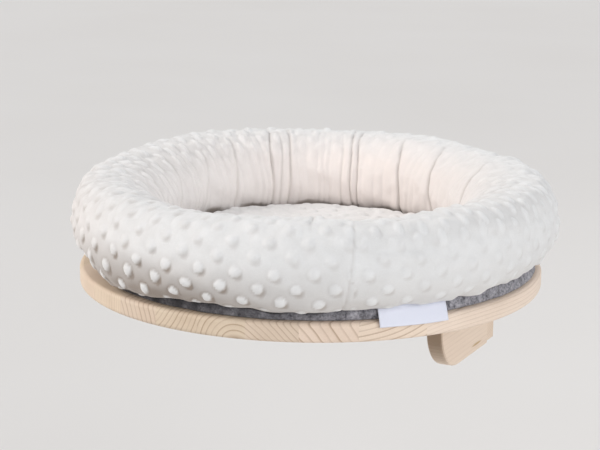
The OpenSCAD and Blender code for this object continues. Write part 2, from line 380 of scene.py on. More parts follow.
# %% Wood of the staves
# Pith to the right and up of the stave's middle, width of a ring, figure, tint and heart
stave_cuts = [
    (60, 40, 2.6, 0.35, (0.84, 0.70, 0.54), 0),
    (-90, 30, 3.0, 0.3, (0.87, 0.72, 0.58), 0),
    (-110, -6, 2.7, 0.6, (0.86, 0.72, 0.57), 0),
    (-66, -22, 5.3, 0.72, (0.86, 0.71, 0.58), 0),
    (-60, 38, 4.4, 0.7, (0.85, 0.71, 0.56), 0),
    (14, -15, 5.0, 0.75, (0.86, 0.72, 0.57), 0.8),
    (-85, -90, 4.3, 0.75, (0.87, 0.72, 0.59), 0),
    (-104, -60, 6.3, 0.75, (0.87, 0.71, 0.58), 0),
    (-30, 66, 5.0, 0.72, (0.88, 0.73, 0.59), 0),
    (12, -82, 3.6, 0.42, (0.88, 0.735, 0.61), 0),
]
# The left staves lie in warm light, the middle ones in half shade and the right ones in full light
stave_tones = 3 * [(0.93, 0.91, 0.89)] + 4 * [(0.86, 0.85, 0.83)] + 3 * [(0.98, 0.98, 0.99)]
for number, (cut, tone) in enumerate(zip(stave_cuts, stave_tones), 1):
    right, up, width, figure, tint, heart = cut
    low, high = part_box(f"stave_{number}")
    middle = (low + high) / 2
    pith = (middle.x + right * MM, 0, middle.z + up * MM)
    colour = [channel * share for channel, share in zip(tint, tone)]
    give(f"stave_{number}", pine(f"Pine {number}", pith, width * MM, figure, (*colour, 1), heart=heart))
print("staves dressed:", len(stave_cuts))

# %% [markdown]
# ## Plate and brackets
#
# The brackets are plain boards with their grain from front to back, and the wall plate has its grain from
# side to side, so its end shows end grain. The rounded front of a bracket is sawn across the fibres and is
# darker, as end grain is. Its dark brown also holds painted shade from the board above it; the board's own
# front edge is end grain too but gets none. The right bracket has a short resin streak near its lower edge.

# %% Wood of the plate and brackets
# ends darkens each bracket's rounded front: its end grain, and the painted shadow of the board above it
give("right_bracket", pine("Pine bracket right", (0.03, 0, 0.09), 4.4 * MM, 0.18, (0.82, 0.675, 0.55, 1),
                           ends=0.88, streak=(0.11, -0.049, -0.048)))
give("left_bracket", pine("Pine bracket left", (-0.15, 0, -0.08), 4.0 * MM, 0.2, (0.82, 0.67, 0.545, 1),
                          ends=0.88))
give("wall_plate", pine("Pine plate", (0.05, 0, 0.04), 3.6 * MM, 0.5, (0.80, 0.65, 0.52, 1), across=True))
print("plate and two brackets dressed")

# %% [markdown]
# ## Screws
#
# Plain zinc-plated wood screws hold the board. Their heads could get scratches and a worn rim, but
# at their size a metal with a fine uneven roughness is enough.


# %% Steel of the screws
def zinc():
    """Spotted zinc: two greys and an uneven roughness from the same noise."""
    material, tree, shader = new_material("Zinc plated steel", Metallic=1.0)
    spots = noise(tree, object_place(tree), 900.0, 3.0)
    colour = mix_colours(tree, spots, (0.55, 0.56, 0.58, 1), (0.74, 0.75, 0.77, 1))
    tree.links.new(colour, shader.inputs["Base Color"])
    tree.links.new(maths(tree, "MULTIPLY_ADD", spots, 0.25, 0.22), shader.inputs["Roughness"])
    bump(tree, shader, spots, 0.3, 0.05 * MM)
    return material


steel = zinc()
for name in ("board_screws", "bracket_screws"):
    give(name, steel)
print("screws dressed in", steel.name)

# %% [markdown]
# ## Plush
#
# Dimple plush has a short dense pile. Its dots are real geometry further down. The finish adds the pile: a
# fine speckle, soft patches where it lies another way, and a sheen at grazing angles. Two attributes of the
# mesh paint light into its colour. The first paints shade, a dark warm tan, in the creases, the seam,
# between and under the dots and low on the ring. The second paints warm light: inside the ring, where white
# plush faces white plush and the light between them turns warm, low on the outer left, and on one side of
# the cushion. Real hairs would look richer close by, but dots of this size carry the look from a step away.


# %% The pile group
def make_pile_group():
    """Two colours mixed by fine fibres and larger patches, and a height for the bump."""
    group, given, result = new_group(
        "Short pile",
        {"Place": ("Vector", None), "Light": ("Color", (0.9, 0.9, 0.9, 1)),
         "Shade": ("Color", (0.7, 0.7, 0.7, 1)), "Fibre scale": ("Float", 1500.0),
         "Patch scale": ("Float", 90.0)},
        {"Color": "Color", "Height": "Float"})
    take = given.outputs
    fibre = noise(group, take["Place"], take["Fibre scale"], 3.0, 0.6)
    patch = noise(group, take["Place"], take["Patch scale"], 2.0, 0.5)
    share = maths(group, "ADD", maths(group, "MULTIPLY", fibre, 0.55), maths(group, "MULTIPLY", patch, 0.45))
    share = ramp(group, share, [(0.3, 0), (0.7, 1)])
    colour = mix_colours(group, share, take["Shade"], take["Light"])
    group.links.new(colour, result.inputs["Color"])
    height = maths(group, "ADD", fibre, maths(group, "MULTIPLY", patch, 0.8))
    group.links.new(height, result.inputs["Height"])
    return group


pile_group = make_pile_group()
print("pile group with", len(pile_group.nodes), "nodes")


# %% Plush for the ring and the cushion
def plush(name, light, shade, crease_colour, warm_light):
    """Pile with painted warm light and painted shade, each read from an attribute of the mesh."""
    material, tree, shader = new_material(
        name, Roughness=0.92, Sheen_Weight=0.45, Sheen_Roughness=0.45, Specular_IOR_Level=0.2)
    pile = add(tree, "ShaderNodeGroup", {
        "Place": object_place(tree), "Light": light, "Shade": shade,
        "Fibre scale": 1300.0, "Patch scale": 75.0}, node_tree=pile_group)
    warmth = add(tree, "ShaderNodeAttribute", attribute_name="warmth").outputs["Fac"]
    colour = mix_colours(tree, warmth, pile.outputs["Color"], warm_light)
    crease = add(tree, "ShaderNodeAttribute", attribute_name="crease").outputs["Fac"]
    colour = mix_colours(tree, crease, colour, crease_colour)
    tree.links.new(colour, shader.inputs["Base Color"])
    bump(tree, shader, pile.outputs["Height"], 0.45, 0.5 * MM)
    return material


# The dark tan is painted shade, and the warm white is painted warm light
WARM_WHITE, DEEP_TAN = (0.95, 0.86, 0.815, 1), (0.33, 0.275, 0.235, 1)
ring_plush = plush("Ring plush", (0.85, 0.85, 0.85, 1), (0.745, 0.74, 0.735, 1), DEEP_TAN, WARM_WHITE)
pad_plush = plush("Pad plush", (0.86, 0.84, 0.83, 1), (0.77, 0.745, 0.73, 1), DEEP_TAN, WARM_WHITE)
print("plush:", ring_plush.name, "and", pad_plush.name)

# %% [markdown]
# ## Felt
#
# The felt is a melange: dark and light fibres are pressed together, without a weave. The same pile
# group draws it, with darker colours and a coarser speckle. It lies in the shade of the ring on
# the left, and an attribute called shade tells where.


# %% Felt
def felt():
    """Grey melange that turns nearly black by the attribute shade."""
    material, tree, shader = new_material("Melange felt", Roughness=0.95, Sheen_Weight=0.25,
                                          Specular_IOR_Level=0.15)
    pile = add(tree, "ShaderNodeGroup", {
        "Place": object_place(tree), "Light": (0.56, 0.55, 0.60, 1), "Shade": (0.04, 0.042, 0.055, 1),
        "Fibre scale": 520.0, "Patch scale": 210.0}, node_tree=pile_group)
    in_shade = add(tree, "ShaderNodeAttribute", attribute_name="shade").outputs["Fac"]
    colour = mix_colours(tree, in_shade, pile.outputs["Color"], (0.035, 0.033, 0.036, 1))
    tree.links.new(colour, shader.inputs["Base Color"])
    bump(tree, shader, pile.outputs["Height"], 0.7, 0.5 * MM)
    return material


grey_felt = felt()
print("felt:", grey_felt.name)

# %% [markdown]
# ## Satin tape
#
# The label is cut from a white satin tape, smoother and a little bluer than the plush. Two waves
# that cross, along X and along Z, draw its fine threads.


# %% Satin tape
def satin_tape():
    """White tape with a fine weave in its colour and its height."""
    material, tree, shader = new_material("Satin tape", Roughness=0.42, Sheen_Weight=0.2,
                                          Specular_IOR_Level=0.4)
    place = object_place(tree)
    threads = [add(tree, "ShaderNodeTexWave", {"Vector": place, "Scale": 420.0, "Distortion": 0.4},
                   bands_direction=way).outputs["Fac"] for way in ("X", "Z")]
    weave = maths(tree, "MULTIPLY", *threads)
    colour = mix_colours(tree, weave, (0.77, 0.79, 0.90, 1), (0.87, 0.89, 0.98, 1))
    tree.links.new(colour, shader.inputs["Base Color"])
    bump(tree, shader, weave, 0.3, 0.08 * MM)
    return material


label_cloth = satin_tape()
print("tape:", label_cloth.name)

# %% [markdown]
# ## Paint of the floor
#
# A single flat colour would look false even on a floor. Slow clouds between two pale greys are
# enough for a matt studio floor.


# %% Paint of the floor
def plain_floor():
    """Matt pale grey with slow clouds."""
    material, tree, shader = new_material("Plain floor", Roughness=0.9, Specular_IOR_Level=0.1)
    cloud = noise(tree, object_place(tree), 1.5, 2.0)
    colour = mix_colours(tree, cloud, (0.77, 0.755, 0.74, 1), (0.80, 0.79, 0.78, 1))
    tree.links.new(colour, shader.inputs["Base Color"])
    return material


floor_mesh.materials.append(plain_floor())
print("floor:", floor_mesh.materials[0].name)

# %% [markdown]
# ## Cloth helpers
#
# The ring and the cushion are made the same way. A section is spun into a closed mesh. A short
# cloth simulation blows it up gently, with a rest shape that has spare fabric where the real
# cover is gathered, so the wrinkles come from the cloth itself. The result is capped, smoothed
# by one subdivision, and then every point is moved along its normal for dots and creases.
# Rows of points keep their number in an attribute, so the later steps know where they are.


# %% Points of a mesh
def read_places(mesh):
    """All points of a mesh as rows of x, y and z."""
    places = np.empty(len(mesh.vertices) * 3)
    mesh.vertices.foreach_get("co", places)
    return places.reshape(-1, 3)


def write_places(mesh, places):
    """Moves the points of a mesh to new places."""
    mesh.vertices.foreach_set("co", places.ravel())
    mesh.update()


def smooth_shade(mesh):
    """Shades the faces as one curved surface."""
    mesh.polygons.foreach_set("use_smooth", [True] * len(mesh.polygons))


# %% Spin a section
def spin_section(name, section, steps, closed):
    """Spins (radius, height) points round Z; returns the object and each point's row and angle."""
    bm = bmesh.new()
    row_layer = bm.verts.layers.int.new("row")
    points = []
    for number, (radius, height) in enumerate(section):
        point = bm.verts.new((radius, 0, height))
        point[row_layer] = number
        points.append(point)
    ends = points[1:] + points[:1] if closed else points[1:]
    edges = [bm.edges.new(pair) for pair in zip(points, ends)]
    bmesh.ops.spin(bm, geom=points + edges, axis=(0, 0, 1), cent=(0, 0, 0), dvec=(0, 0, 0),
                   angle=2 * math.pi, steps=steps, use_merge=True)
    bmesh.ops.remove_doubles(bm, verts=bm.verts, dist=0.001 * MM)
    bmesh.ops.recalc_face_normals(bm, faces=bm.faces)
    mesh = bpy.data.meshes.new(name)
    bm.to_mesh(mesh)
    bm.free()
    piece = bpy.data.objects.new(name, mesh)
    bpy.context.scene.collection.objects.link(piece)
    rows = np.empty(len(mesh.vertices), dtype=np.int32)
    mesh.attributes["row"].data.foreach_get("value", rows)
    places = read_places(mesh)
    return piece, rows, np.arctan2(places[:, 1], places[:, 0])


# %% [markdown]
# A cover swells because its stuffing pushes from inside. Blender's cloth has a pressure for that,
# and a rest shape that says how large each bit of fabric is when nothing pulls on it. The sewn
# rows are held. Modelling the swell by hand would be quicker, but it would look even. A perfectly
# round start never buckles, so the points first stray by half a millimetre, from seeded waves.

# %% Blow up the cloth
STRAY_REACH, STRAY_SHORT, STRAY_LONG = 0.5 * MM, 14 * MM, 40 * MM


def soft_noise(places, seed, shortest, longest, count=40):
    """Smooth seeded noise round 0 at points in space, from waves between two lengths in metres."""
    draw = np.random.default_rng(seed)
    ways = draw.normal(size=(count, 3))
    lengths = draw.uniform(shortest, longest, count)
    ways *= (2 * math.pi / lengths / np.linalg.norm(ways, axis=1))[:, None]
    return np.sin(places @ ways.T + draw.uniform(0, 2 * math.pi, count)).sum(axis=1) / math.sqrt(count / 2)


def blow_up(piece, rest_places, held_rows, rows, pressure, cap, frames):
    """Simulates the cloth with its rest shape and returns where its points end, within the cap."""
    mesh = piece.data
    start = read_places(mesh)
    stray = np.column_stack([soft_noise(start, seed, STRAY_SHORT, STRAY_LONG) for seed in (61, 62, 63)])
    stray[np.isin(rows, held_rows)] = 0
    start = start + STRAY_REACH * stray
    write_places(mesh, start)
    piece.shape_key_add(name="Basis")
    rest = piece.shape_key_add(name="Rest")
    rest.data.foreach_set("co", rest_places.ravel())
    held = piece.vertex_groups.new(name="held")
    held.add([int(i) for i in np.nonzero(np.isin(rows, held_rows))[0]], 1.0, "REPLACE")
    cloth = piece.modifiers.new("Cloth", "CLOTH")
    settings = cloth.settings
    settings.quality = 5
    settings.mass = 0.4
    settings.time_scale = 2.0
    settings.tension_stiffness = settings.compression_stiffness = 80
    settings.shear_stiffness = 20
    settings.bending_stiffness = 1.2
    settings.tension_damping = settings.compression_damping = 10
    settings.air_damping = 3
    settings.use_pressure = True
    settings.uniform_pressure_force = pressure
    settings.pin_stiffness = 50
    settings.vertex_group_mass = "held"
    settings.rest_shape_key = rest
    settings.effector_weights.gravity = 0
    cloth.collision_settings.use_collision = False
    scene = bpy.context.scene
    cloth.point_cache.frame_start, cloth.point_cache.frame_end = 1, frames
    for number in range(1, frames + 1):
        scene.frame_set(number)
    blown = piece.evaluated_get(bpy.context.evaluated_depsgraph_get())
    places = read_places(blown.data)
    piece.modifiers.remove(cloth)
    piece.shape_key_clear()
    piece.vertex_groups.clear()
    scene.frame_set(1)
    move = places - start
    length = np.linalg.norm(move, axis=1)
    print(piece.name, "blown up, mean and most in mm", length.mean() / MM, length.max() / MM)
    return start + move * (cap * np.tanh(length / cap) / np.maximum(length, 1e-9))[:, None]


# %% [markdown]
# After the simulation the mesh gets twice as fine, and a flat map of the cloth in metres goes with
# it. On that map the dots keep their distances however the ring bends, as they do on the real
# fabric. A pattern in space would be stretched or cut off where the surface turns.


# %% Refine a mesh and read it back
def refine(piece):
    """Applies one subdivision and returns the finer mesh's points, normals and cloth places."""
    smooth = piece.modifiers.new("Smooth", "SUBSURF")
    smooth.levels = smooth.render_levels = 1
    smooth.use_limit_surface = False
    finer = bpy.data.meshes.new_from_object(piece.evaluated_get(bpy.context.evaluated_depsgraph_get()))
    piece.modifiers.clear()
    old = piece.data
    piece.data = finer
    finer.name = old.name
    bpy.data.meshes.remove(old)
    normals = np.empty(len(finer.vertices) * 3)
    finer.vertex_normals.foreach_get("vector", normals)
    corners = np.empty(len(finer.loops), dtype=np.int32)
    finer.loops.foreach_get("vertex_index", corners)
    flat = np.empty(len(finer.loops) * 2)
    finer.uv_layers["Cloth"].uv.foreach_get("vector", flat)
    cloth_places = np.empty((len(finer.vertices), 2))
    cloth_places[corners] = flat.reshape(-1, 2)
    smooth_shade(finer)
    return read_places(finer), normals.reshape(-1, 3), cloth_places


def lay_out(mesh, along, across, whole):
    """Gives the mesh a flat cloth map in metres; along starts again after a whole turn."""
    corners = np.empty(len(mesh.loops), dtype=np.int32)
    mesh.loops.foreach_get("vertex_index", corners)
    owner = np.repeat(np.arange(len(mesh.polygons)), [len(p.vertices) for p in mesh.polygons])
    place = along[corners]
    farthest = np.zeros(len(mesh.polygons))
    np.maximum.at(farthest, owner, place)
    place = np.where(farthest[owner] - place > whole / 2, place + whole, place)
    layer = mesh.uv_layers.new(name="Cloth")
    layer.uv.foreach_set("vector", np.column_stack([place, across[corners]]).ravel())


# %% Paint and place a piece
def paint(piece, **shades):
    """Stores a number for each point of the mesh under each name, for the materials to read."""
    for name, values in shades.items():
        layer = piece.data.attributes.new(name, "FLOAT", "POINT")
        layer.data.foreach_set("value", values.astype(np.float32))


def dress(piece, material):
    """Moves a piece made round the origin to the middle of the bed, and gives it its material."""
    piece.data.transform(Matrix.Translation((bed_middle.x, bed_middle.y, 0)))
    piece.data.materials.append(material)


# %% [markdown]
# ## Patterns on cloth
#
# Three patterns shape the plush: tufts, fine gathers and slow unevenness. They are plain
# functions of the cloth's own coordinates. The tufts are the dots of the plush, low domes on a
# slanting lattice with a faint trough round each. Where the cover is gathered, the lattice
# closes up and the dots become short ridges, so the same function draws both. Gathers are
# rounded ridges with sharp valleys between them. Dots could be separate domes, but then they
# would sit on the cloth and not be part of it.

# %% Slow waves
DOT_ALONG, DOT_ROW, DOT_SHIFT, DOT_START = 33.76 * MM, 13.7 * MM, 14.6 * MM, 20.2 * MM
DOT_R, DOT_HEIGHT, DOT_STRAY = 5.4 * MM, 2.0 * MM, 0.8 * MM
print("dots every", DOT_ALONG / MM, "mm along, in rows", DOT_ROW / MM, "mm apart")


def waves(angle, seed, lowest, highest):
    """A slow wave round the ring, from -1 to 1 or so, summed from whole numbers of waves."""
    draw = np.random.default_rng(seed)
    counts = np.arange(lowest, highest + 1)
    phases = draw.uniform(0, 2 * np.pi, len(counts))
    total = sum(np.sin(count * angle + phase) for count, phase in zip(counts, phases))
    return total / math.sqrt(len(counts) / 2)


# %% Tufts and gathers
def tufts(along, across, pitch=DOT_ALONG, shift=DOT_SHIFT, reach=(DOT_R, DOT_R), stray=DOT_STRAY):
    """Height of the tufts from 0 to 1 at a place on the cloth, with a faint trough round each."""
    best = np.full(len(along), 9.0)
    lowest_row = np.floor(across / DOT_ROW)
    for step in (0, 1):
        row = lowest_row + step
        start = DOT_START + row * shift
        number = np.round((along - start) / pitch)
        # Two sines of the row and the number stray each tuft a little, the same in each run
        off_along = along - start - number * pitch + stray * np.sin(number * 12.99 + row * 78.23)
        off_across = across - row * DOT_ROW + stray * np.cos(number * 4.13 + row * 9.71)
        best = np.minimum(best, np.hypot(off_along / reach[0], off_across / reach[1]))
    dome = np.clip(1 - best ** 2, 0, 1) ** 0.65
    trough = 0.12 * np.exp(-((best - 1.2) / 0.2) ** 2)
    return dome - trough


def gathers(along, across, pitch, seed):
    """Rounded ridges with sharp valleys across the ring, from -0.6 to 0.4, never quite straight."""
    drift = waves(across * 40, seed, 1, 4) * 0.15 + waves(along * 11, seed + 1, 1, 12) * 0.9
    return np.abs(np.sin(np.pi * along / pitch + drift)) - 0.6


# %% [markdown]
# Masks say where a pattern stands: a bell round one direction of the ring, or a ramp that rises or
# falls with a value. Soft masks let one pattern hand over to the next without a line.


# %% Masks
def near(angle, centre, width):
    """Bell from 0 to 1 round a direction, both in degrees."""
    gap = (np.degrees(angle) - centre + 180) % 360 - 180
    return np.exp(-(gap / width) ** 2)


def rises(value, start, full):
    """0 up to start, 1 from full on."""
    return np.clip((value - start) / (full - start), 0, 1)


def falls(value, fade, end):
    """1 up to fade, 0 from end on."""
    return np.clip((end - value) / (end - fade), 0, 1)


def between(value, start, full, fade, end):
    """Rises from 0 to 1 from start to full, and falls back from fade to end."""
    return np.minimum(rises(value, start, full), falls(value, fade, end))


# %% [markdown]
# ## The plush ring
#
# The ring is a tube of plush, stuffed by hand. A torus would be too round and too even. So its
# section is drawn first: it starts at the seam with the felt, swells out over it, rises to the
# crest and falls steeply inside, down to the cushion. A flat foot closes it underneath. The
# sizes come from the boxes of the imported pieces, so the ring sits in its solid.

# %% Sizes of the bed
ring_low, ring_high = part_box("ring_cover")
band_low, band_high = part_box("felt_band")
pad_low, pad_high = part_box("pad_cover")
bed_middle = (band_low + band_high) / 2
board_top = board_high.z
print("middle of the bed", [round(v, 4) for v in bed_middle])

# %% Section of the ring
OUTER_R = (ring_high.x - ring_low.x) / 2
FELT_R = (band_high.x - band_low.x) / 2
FELT_T = 3 * MM
CREST_R = OUTER_R - 26 * MM
INNER_R = (pad_high.x - pad_low.x) / 2 + 2 * MM
TOP_Z, WIDEST_Z = ring_high.z, board_top + 42 * MM
SEAM_Z, FOOT_Z = band_high.z + 0.6 * MM, pad_low.z + 0.4 * MM
UPPER_POWER, LOWER_POWER = 2.1, 2.4
RING_STEPS, COVER_ROWS, FOOT_ROWS = 420, 66, 7
SEAM_TURN, FOOT_TURN = -80, 250


def ring_section_point(turn):
    """Point (radius, height) of the section in a direction in degrees, from outside over the top."""
    sine, cosine = math.sin(math.radians(turn)), math.cos(math.radians(turn))
    power = 2 / (UPPER_POWER if sine >= 0 else LOWER_POWER)
    reach = OUTER_R - CREST_R if cosine >= 0 else CREST_R - INNER_R
    drop = WIDEST_Z - (SEAM_Z if cosine >= 0 else FOOT_Z)
    rise = TOP_Z - WIDEST_Z if sine >= 0 else drop
    return (CREST_R + reach * math.copysign(abs(cosine) ** power, cosine),
            WIDEST_Z + rise * math.copysign(abs(sine) ** power, sine))


def even_steps(line, count):
    """The same line with a number of points at even distances, and the distance of each."""
    line = np.array(line)
    far = np.concatenate([[0], np.cumsum(np.hypot(*np.diff(line, axis=0).T))])
    places = np.linspace(0, far[-1], count)
    return np.column_stack([np.interp(places, far, line[:, axis]) for axis in (0, 1)]), places


hem = (FELT_R - FELT_T - 0.6 * MM, SEAM_Z)
cover_line = [hem] + [ring_section_point(t) for t in range(SEAM_TURN, FOOT_TURN + 1)]
cover_section, cover_far = even_steps(cover_line, COVER_ROWS)
foot_section, _ = even_steps([cover_section[-1], (hem[0] - 1 * MM, FOOT_Z), hem], FOOT_ROWS)
ring_section = np.vstack([cover_section, foot_section[1:-1]])
print("cover is", round(cover_far[-1] / MM), "mm across, ring section has", len(ring_section), "rows")

# %% [markdown]
# The rest shape of the cover is a tube of cloth that is a fifth longer on the inside of the ring
# than there is room for. When the simulation tries to reach it, the inside buckles into gathers,
# which is how the real cover gets them.

# %% Blow up the ring
ring, ring_rows, ring_angle = spin_section("plush_ring", ring_section, RING_STEPS, closed=True)
cover_share = np.clip(np.arange(len(ring_section)) / (COVER_ROWS - 1), 0, 1)
SPARE_FROM, SPARE_FULL, SPARE = 0.42, 0.62, 0.22
spare = 1 + SPARE * np.clip((cover_share - SPARE_FROM) / (SPARE_FULL - SPARE_FROM), 0, 1)
rest_radius = ring_section[:, 0] * spare
steps_far = np.hypot(*np.diff(ring_section, axis=0).T)
steps_up = np.sqrt(np.maximum(steps_far ** 2 - np.diff(rest_radius) ** 2, 1e-12))
rest_height = np.concatenate([[0], np.cumsum(steps_up)])
rest_places = np.column_stack([rest_radius[ring_rows] * np.cos(ring_angle),
                               rest_radius[ring_rows] * np.sin(ring_angle), rest_height[ring_rows]])
held_rows = [0, 1, *range(COVER_ROWS - 3, len(ring_section))]
ring_places = blow_up(ring, rest_places, held_rows, ring_rows, pressure=2.0, cap=5 * MM, frames=24)
print("ring has", len(ring_places), "points before it is refined")

# %% [markdown]
# A hand-stuffed ring is never an even one. Where the photograph's outline swells or lies in, the
# section is scaled there, by short tables of directions and millimetres. The plush over the felt
# hangs in small waves too, and the felt edge follows the same waves.


# %% Tables round the ring
def by_direction(angle, table):
    """Smooth value round the ring from a table of (direction in degrees, millimetres)."""
    directions, values = zip(*table)
    fine_turn = np.arange(-180, 180, 2.0)
    rough = np.interp(fine_turn, directions, values, period=360)
    blur = np.exp(-(np.arange(-12, 13) / 4.0) ** 2)
    soft = np.convolve(np.tile(rough, 3), blur / blur.sum(), "same")[len(rough):2 * len(rough)]
    return MM * np.interp(np.degrees(angle), fine_turn, soft, period=360)


# How much higher the crest stands, how far the lower side hangs down, and how far the upper swells
crest_rise = [(-180, 0.4), (-165, -2), (-140, -0.5), (-90, -1.5), (-60, -2), (-30, -1), (0, 0.5), (22, 0),
              (34, 3.0), (45, 2.5), (58, 1.5), (70, 5), (90, 4.4), (105, 4.0), (120, 5.2), (140, 6.2),
              (155, 5.8), (168, 3)]
hang_down = [(-180, -3), (-154, -4), (-140, -2), (-130, 2), (-122, 6.5), (-116, 7.6), (-108, 5),
             (-97, 0), (150, 0)]
side_swell = [(-180, 0), (-165, -3), (-145, -1.5), (-110, 0), (-40, 0), (0, 0), (20, 3.8), (30, 5.5),
              (42, 6), (56, 3), (75, -1), (110, -2), (150, 0)]
print("crest rises by up to", max(rise for _, rise in crest_rise), "mm")


# %% Wavy lower edge
def hem_wave(angle):
    """Rise and fall of the lower edge of the plush, in metres."""
    sags = 3.0 * near(angle, -74, 4.5) + 3.4 * near(angle, -64, 3.5) - 2.4 * near(angle, -58.8, 1.6)
    lifts = 3.0 * near(angle, -6, 20) + 2.2 * near(angle, -40, 11) + 2.0 * near(angle, -148, 14)
    return MM * (0.7 * waves(angle, 21, 9, 37) * (1 - 0.7 * near(angle, -39, 12)) + lifts - sags - 0.3)


# %% Uneven stuffing
across_share = cover_share[ring_rows]
on_side = ring_rows < COVER_ROWS
radius = np.hypot(ring_places[:, 0], ring_places[:, 1])
# Height from 0 on the board to 1 at the crest
height = (ring_places[:, 2] - board_top) / (TOP_Z - board_top)
rise = by_direction(ring_angle, crest_rise) + 0.8 * MM * waves(ring_angle, 11, 5, 11)
ring_places[:, 2] += np.clip((height - 0.3) / 0.7, 0, 1.1) * rise
outer_side = rises(radius, CREST_R, OUTER_R)
radius += outer_side * rises(height, 0, 0.45) * by_direction(ring_angle, side_swell)
tucked = 17 * MM * near(ring_angle, -151, 24) + 6 * MM * near(ring_angle, -2, 26)
radius -= tucked * outer_side * np.clip(1 - np.abs(height - 0.17) / 0.24, 0, 1)
ring_places[:, 2] += falls(across_share, 0, 0.14) * on_side * hem_wave(ring_angle)
overhang = between(across_share, 0, 0.05, 0.10, 0.22) * on_side
ring_places[:, 2] -= overhang * by_direction(ring_angle, hang_down)
ring_places[:, 0] = radius * np.cos(ring_angle)
ring_places[:, 1] = radius * np.sin(ring_angle)
write_places(ring.data, ring_places)
print("ring is", round(ring_places[:, 2].max() - board_top, 4), "m high at its highest")

# %% Cloth map of the ring
whole_turn = 2 * math.pi * OUTER_R
SEAM_ANGLE = math.radians(305)
cloth_along = ((ring_angle - SEAM_ANGLE) % (2 * math.pi)) * OUTER_R
section_far = np.concatenate([cover_far, cover_far[-1] + np.zeros(len(ring_section) - COVER_ROWS)])
lay_out(ring.data, cloth_along, section_far[ring_rows], whole_turn)
places, normals, cloth = refine(ring)
print("ring has", len(ring.data.polygons), "faces")

# %% [markdown]
# Now the finer mesh takes its patterns. Each point knows its direction from the middle of the ring
# and its place on the cloth, along the ring and across it. The share of the way across runs from
# 0 at the seam with the felt, over the crest, to 1 at the foot of the inner wall.

# %% Places on the ring's cloth
angle = np.arctan2(places[:, 1], places[:, 0])
along, across = cloth[:, 0] % whole_turn, cloth[:, 1]
share = across / cover_far[-1]
local_r = np.hypot(places[:, 0], places[:, 1])
print("cloth of the ring is", round(whole_turn, 3), "m round and", round(cover_far[-1], 3), "m across")

# %% [markdown]
# A deep crease is a fold of spare cloth in the inner wall. It is a narrow groove with a fuller roll
# on both sides, and it stands where the photograph shows one. The simulation would place creases
# by chance, so these are moved in along the normals. At the back they lean as they rise.

# %% Deep creases
# Directions in degrees, with depths in millimetres
deep_creases = [(134.5, 3.4), (130.5, 2.0), (126.5, 3.0), (103, 1.6), (98.7, 3.2), (95.5, 3.0), (75.5, 3.4),
                (56.5, 3.4), (27, 3.3), (18, 2.0), (2, 2.4), (152, 2.0), (168, 1.2), (186, 1.4), (207, 2.0),
                (226, 2.6), (243, 3.0), (262, 3.2), (281, 2.4), (296, 3.0), (318, 3.0), (338, 2.8)]
DEEPEST = 3.4
GROOVE_HALF, ROLL_AWAY, ROLL_HALF = 1.2 * MM, 6 * MM, 5 * MM
# The creases within this many degrees of the back's middle lean towards it
BACK_MIDDLE, LEANS_WITHIN, LEANS_MORE_WITHIN = 116, 92, 70
groove_shade = np.zeros(len(places))
crease_push = np.zeros(len(places))
for number, (direction, depth) in enumerate(deep_creases):
    lean = waves(across * 30 + number, 40 + number, 1, 3) * 0.35
    to_middle = BACK_MIDDLE - direction
    if abs(to_middle) < LEANS_WITHIN:
        slant = 0.24 if abs(to_middle) < LEANS_MORE_WITHIN else 0.2
        lean = lean + slant * to_middle * falls(share, 0.45, 0.95)
    gap = (np.degrees(angle) - direction - lean + 180) % 360 - 180
    away = np.radians(gap) * local_r
    top = 0.36 if depth > 2.9 and direction > 80 else 0.46
    reach = between(share, top, top + 0.16, 0.93, 1.0)
    groove = np.exp(-(away / GROOVE_HALF) ** 2) * reach
    roll_beside = np.exp(-((np.abs(away) - ROLL_AWAY) / ROLL_HALF) ** 2) * reach
    crease_push += MM * (0.55 * roll_beside - 0.6 * depth * groove)
    groove_shade = np.maximum(groove_shade, groove * depth / DEEPEST)
print("deep creases:", len(deep_creases), "pressed in by up to", round(-crease_push.min() / MM, 2), "mm")

# %% [markdown]
# Where the cover is drawn together over the crest, on the left and on the right, the rows of dots
# close up into short ridges, with fine gathers between them. Elsewhere the dots stand apart on
# smooth cloth. They end just above the seam and are pressed flat inside, where the cover is tight.

# %% Ridges, gathers and dots
RIDGE_PITCH, RIDGE_SHIFT, RIDGE_REACH, RIDGE_STRAY = 24 * MM, 10.4 * MM, (4.6 * MM, 8.2 * MM), 1.8 * MM
GATHER_PITCH = 16 * MM
ruched = np.clip(0.15 + 0.85 * near(angle, 184, 56) + 0.65 * near(angle, 355, 38), 0, 1)
ridge_field = between(share, 0.26, 0.35, 0.56, 0.72) * ruched
ridges = tufts(along, across, RIDGE_PITCH, RIDGE_SHIFT, RIDGE_REACH, RIDGE_STRAY)
ridge_shade = np.clip(0.35 - ridges, 0, 1) / 0.35 * ridge_field
ridges *= ridge_field
fine = gathers(along, across, GATHER_PITCH, 5) * between(share, 0.36, 0.56, 0.92, 1.0)
fine *= 0.15 + 0.85 * ruched
dot_field = between(share, 0.052, 0.07, 0.96, 0.995) * (1 - 0.5 * near(angle, -20, 34))
dot_field *= 1 - np.maximum(0.85 * rises(share, 0.42, 0.56), 0.9 * ridge_field)
full_dots = tufts(along, across)
dots = full_dots * dot_field
print("dots rise to", round(float(dots.max()) * DOT_HEIGHT / MM, 2), "mm")

# %% [markdown]
# The cover is one strip of plush, closed by a seam that crosses the front of the ring at a slight
# slant. The stitches pull the cloth in, so the seam is a shallow groove. All patterns are added
# up, and each point moves along its own normal. It is real geometry, so the outline shows it too.

